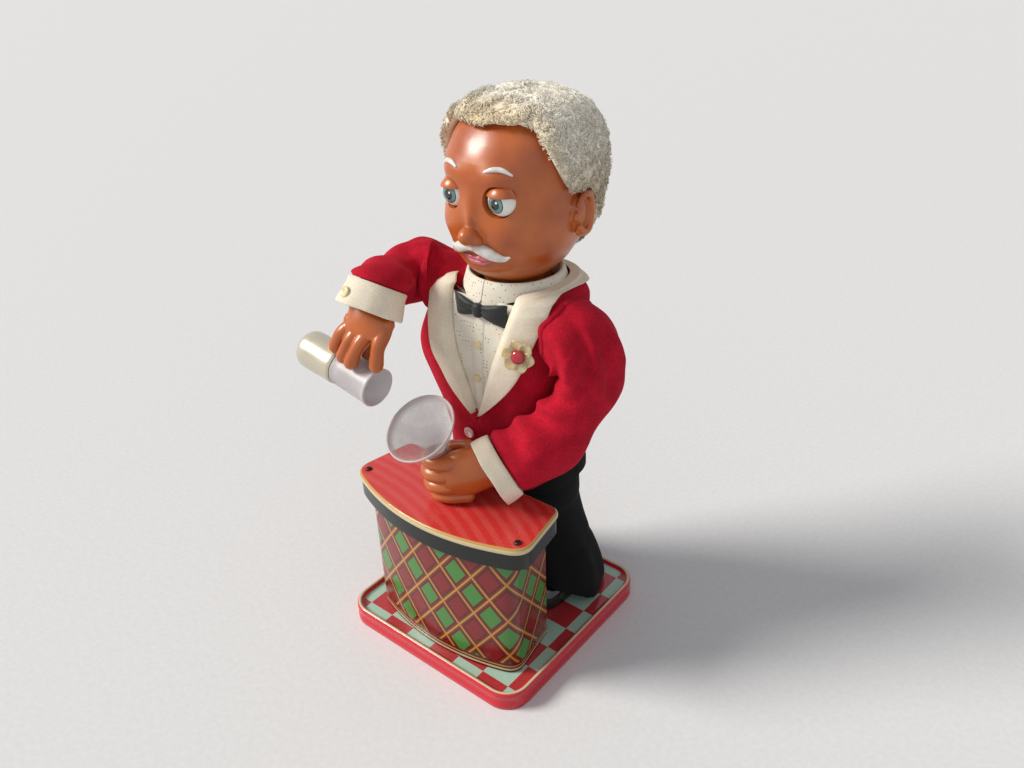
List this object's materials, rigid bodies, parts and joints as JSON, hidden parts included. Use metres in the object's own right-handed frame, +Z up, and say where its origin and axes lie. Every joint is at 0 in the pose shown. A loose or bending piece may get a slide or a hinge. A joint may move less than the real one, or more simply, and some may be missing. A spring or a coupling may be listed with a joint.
{
  "type": "bartender automaton toy",
  "caption": "Battery-driven bartender toy: a dressed figure behind a small tin bar on a tray, with jointed waist, head, arms and eyes and a cam drive inside.",
  "frame": {"origin": "centre of the flat underside of the tray, on the floor", "axes": "+Z up; -Y the way the figure faces; +X towards the figure's left hand, with the glass"},
  "size_m": [0.1452, 0.1408, 0.2894],
  "materials": {
    "red_tin": "lithographed gloss red tin",
    "maroon_tin": "lithographed gloss dark red tin",
    "counter_red": "lithographed gloss red tin",
    "zinc_steel": "zinc-plated steel",
    "brass": "turned brass",
    "black_velvet": "black velvet",
    "crimson_felt": "crimson felt",
    "cream_felt": "cream felt",
    "shirt_cotton": "cream cotton",
    "tie_ribbon": "dark green-black ribbon",
    "brown_vinyl": "glossy orange-brown vinyl",
    "white_plush": "off-white plush pile",
    "eye_white": "gloss white plastic",
    "black_plastic": "gloss black plastic",
    "ivory_plastic": "satin ivory plastic",
    "frosted_plastic": "frosted translucent plastic",
    "pearl_plastic": "pearly cream plastic",
    "gear_nylon": "natural nylon",
    "phenolic_board": "brown phenolic board",
    "cell_sleeve": "printed steel jacket",
    "wire_insulation": "red wire insulation"
  },
  "bodies": {
    "base": {"bar_back_panel": "maroon_tin", "bar_body": "maroon_tin", "bar_top": "counter_red", "base_plate": "zinc_steel", "base_tray": "red_tin", "battery_cell_left": "cell_sleeve", "battery_cell_right": "cell_sleeve", "battery_holder": "zinc_steel", "contact_board": "phenolic_board", "hip_bracket": "zinc_steel", "lead_battery_to_switch": "wire_insulation", "lead_switch_to_waist": "wire_insulation", "leg_upright_left": "zinc_steel", "leg_upright_right": "zinc_steel", "shoe_left": "black_plastic", "shoe_right": "black_plastic", "switch_holder": "phenolic_board", "trousers": "black_velvet", "waist_pin": "zinc_steel"},
    "battery_door": {"battery_door": "zinc_steel"},
    "power_switch": {"power_switch_lever": "black_plastic"},
    "torso": {"bow_tie": "tie_ribbon", "frame_spacer": "zinc_steel", "frame_top_plate": "zinc_steel", "idler_shaft": "zinc_steel", "jacket_body": "crimson_felt", "jacket_button": "pearl_plastic", "lapel_flower": "pearl_plastic", "lead_waist_to_motor": "wire_insulation", "mechanism_frame": "zinc_steel", "motor_can": "zinc_steel", "neck_pin": "zinc_steel", "shawl_collar": "cream_felt", "shirt_collar": "shirt_cotton", "shirt_front": "shirt_cotton", "torso_shell_back": "zinc_steel", "torso_shell_front": "zinc_steel"},
    "head": {"eye_plate": "zinc_steel", "hair_cap": "white_plush", "head_bracket": "zinc_steel", "head_shell": "brown_vinyl"},
    "left_arm": {"arm_lever_left": "zinc_steel", "cocktail_glass": "frosted_plastic", "cuff_left": "cream_felt", "hand_left": "brown_vinyl", "sleeve_left": "crimson_felt"},
    "right_arm": {"arm_lever_right": "zinc_steel", "cuff_right": "cream_felt", "hand_right": "brown_vinyl", "shaker_cap": "ivory_plastic", "shaker_cup": "frosted_plastic", "sleeve_right": "crimson_felt"},
    "motor_shaft": {"motor_pinion": "brass"},
    "idler": {"idler_gear": "gear_nylon"},
    "cams": {"cam_gear": "gear_nylon", "cam_shaft": "zinc_steel"},
    "left_eye": {"eye_left": "eye_white"},
    "right_eye": {"eye_right": "eye_white"}
  },
  "joints": [
    {"name": "battery_door_hinge", "type": "hinge", "parent": "base", "child": "battery_door", "pos_m": [0, -0.0093, 0.001], "axis": [1, 0, 0], "range_deg": [0, 95]},
    {"name": "switch_slide", "type": "slide", "parent": "base", "child": "power_switch", "axis": [0, 1, 0], "range_m": [0, 0.005]},
    {"name": "waist_lean", "type": "hinge", "parent": "base", "child": "torso", "pos_m": [0, 0.03, 0.093], "axis": [-1, 0, 0], "range_deg": [0, 6]},
    {"name": "head_tilt", "type": "hinge", "parent": "torso", "child": "head", "pos_m": [0, 0.03, 0.1975], "axis": [-1, 0, 0], "range_deg": [-3, 8]},
    {"name": "left_arm_lift", "type": "hinge", "parent": "torso", "child": "left_arm", "pos_m": [0, 0.022, 0.182], "axis": [-1, 0, 0], "range_deg": [0, 70]},
    {"name": "right_arm_shake", "type": "hinge", "parent": "torso", "child": "right_arm", "pos_m": [0, 0.022, 0.182], "axis": [-1, 0, 0], "range_deg": [0, 35]},
    {"name": "cam_spin", "type": "hinge", "parent": "torso", "child": "cams", "pos_m": [0, 0.03187, 0.15019], "axis": [1, 0, 0], "continuous": true},
    {"name": "idler_spin", "type": "hinge", "parent": "torso", "child": "idler", "pos_m": [0, 0.02615, 0.1326], "axis": [1, 0, 0], "continuous": true},
    {"name": "motor_spin", "type": "hinge", "parent": "torso", "child": "motor_shaft", "pos_m": [0, 0.03, 0.1145], "axis": [1, 0, 0], "continuous": true},
    {"name": "left_eye_turn", "type": "hinge", "parent": "head", "child": "left_eye", "pos_m": [0.014, 0.012, 0.2445], "axis": [0, -1, 0], "continuous": true},
    {"name": "right_eye_turn", "type": "hinge", "parent": "head", "child": "right_eye", "pos_m": [-0.014, 0.012, 0.2445], "axis": [0, -1, 0], "continuous": true}
  ],
  "couplings": [
    {"joint": "idler_spin", "follows": "cam_spin", "ratio": -2.5},
    {"joint": "motor_spin", "follows": "cam_spin", "ratio": 6.25},
    {"joint": "right_eye_turn", "follows": "left_eye_turn", "ratio": 1}
  ]
}
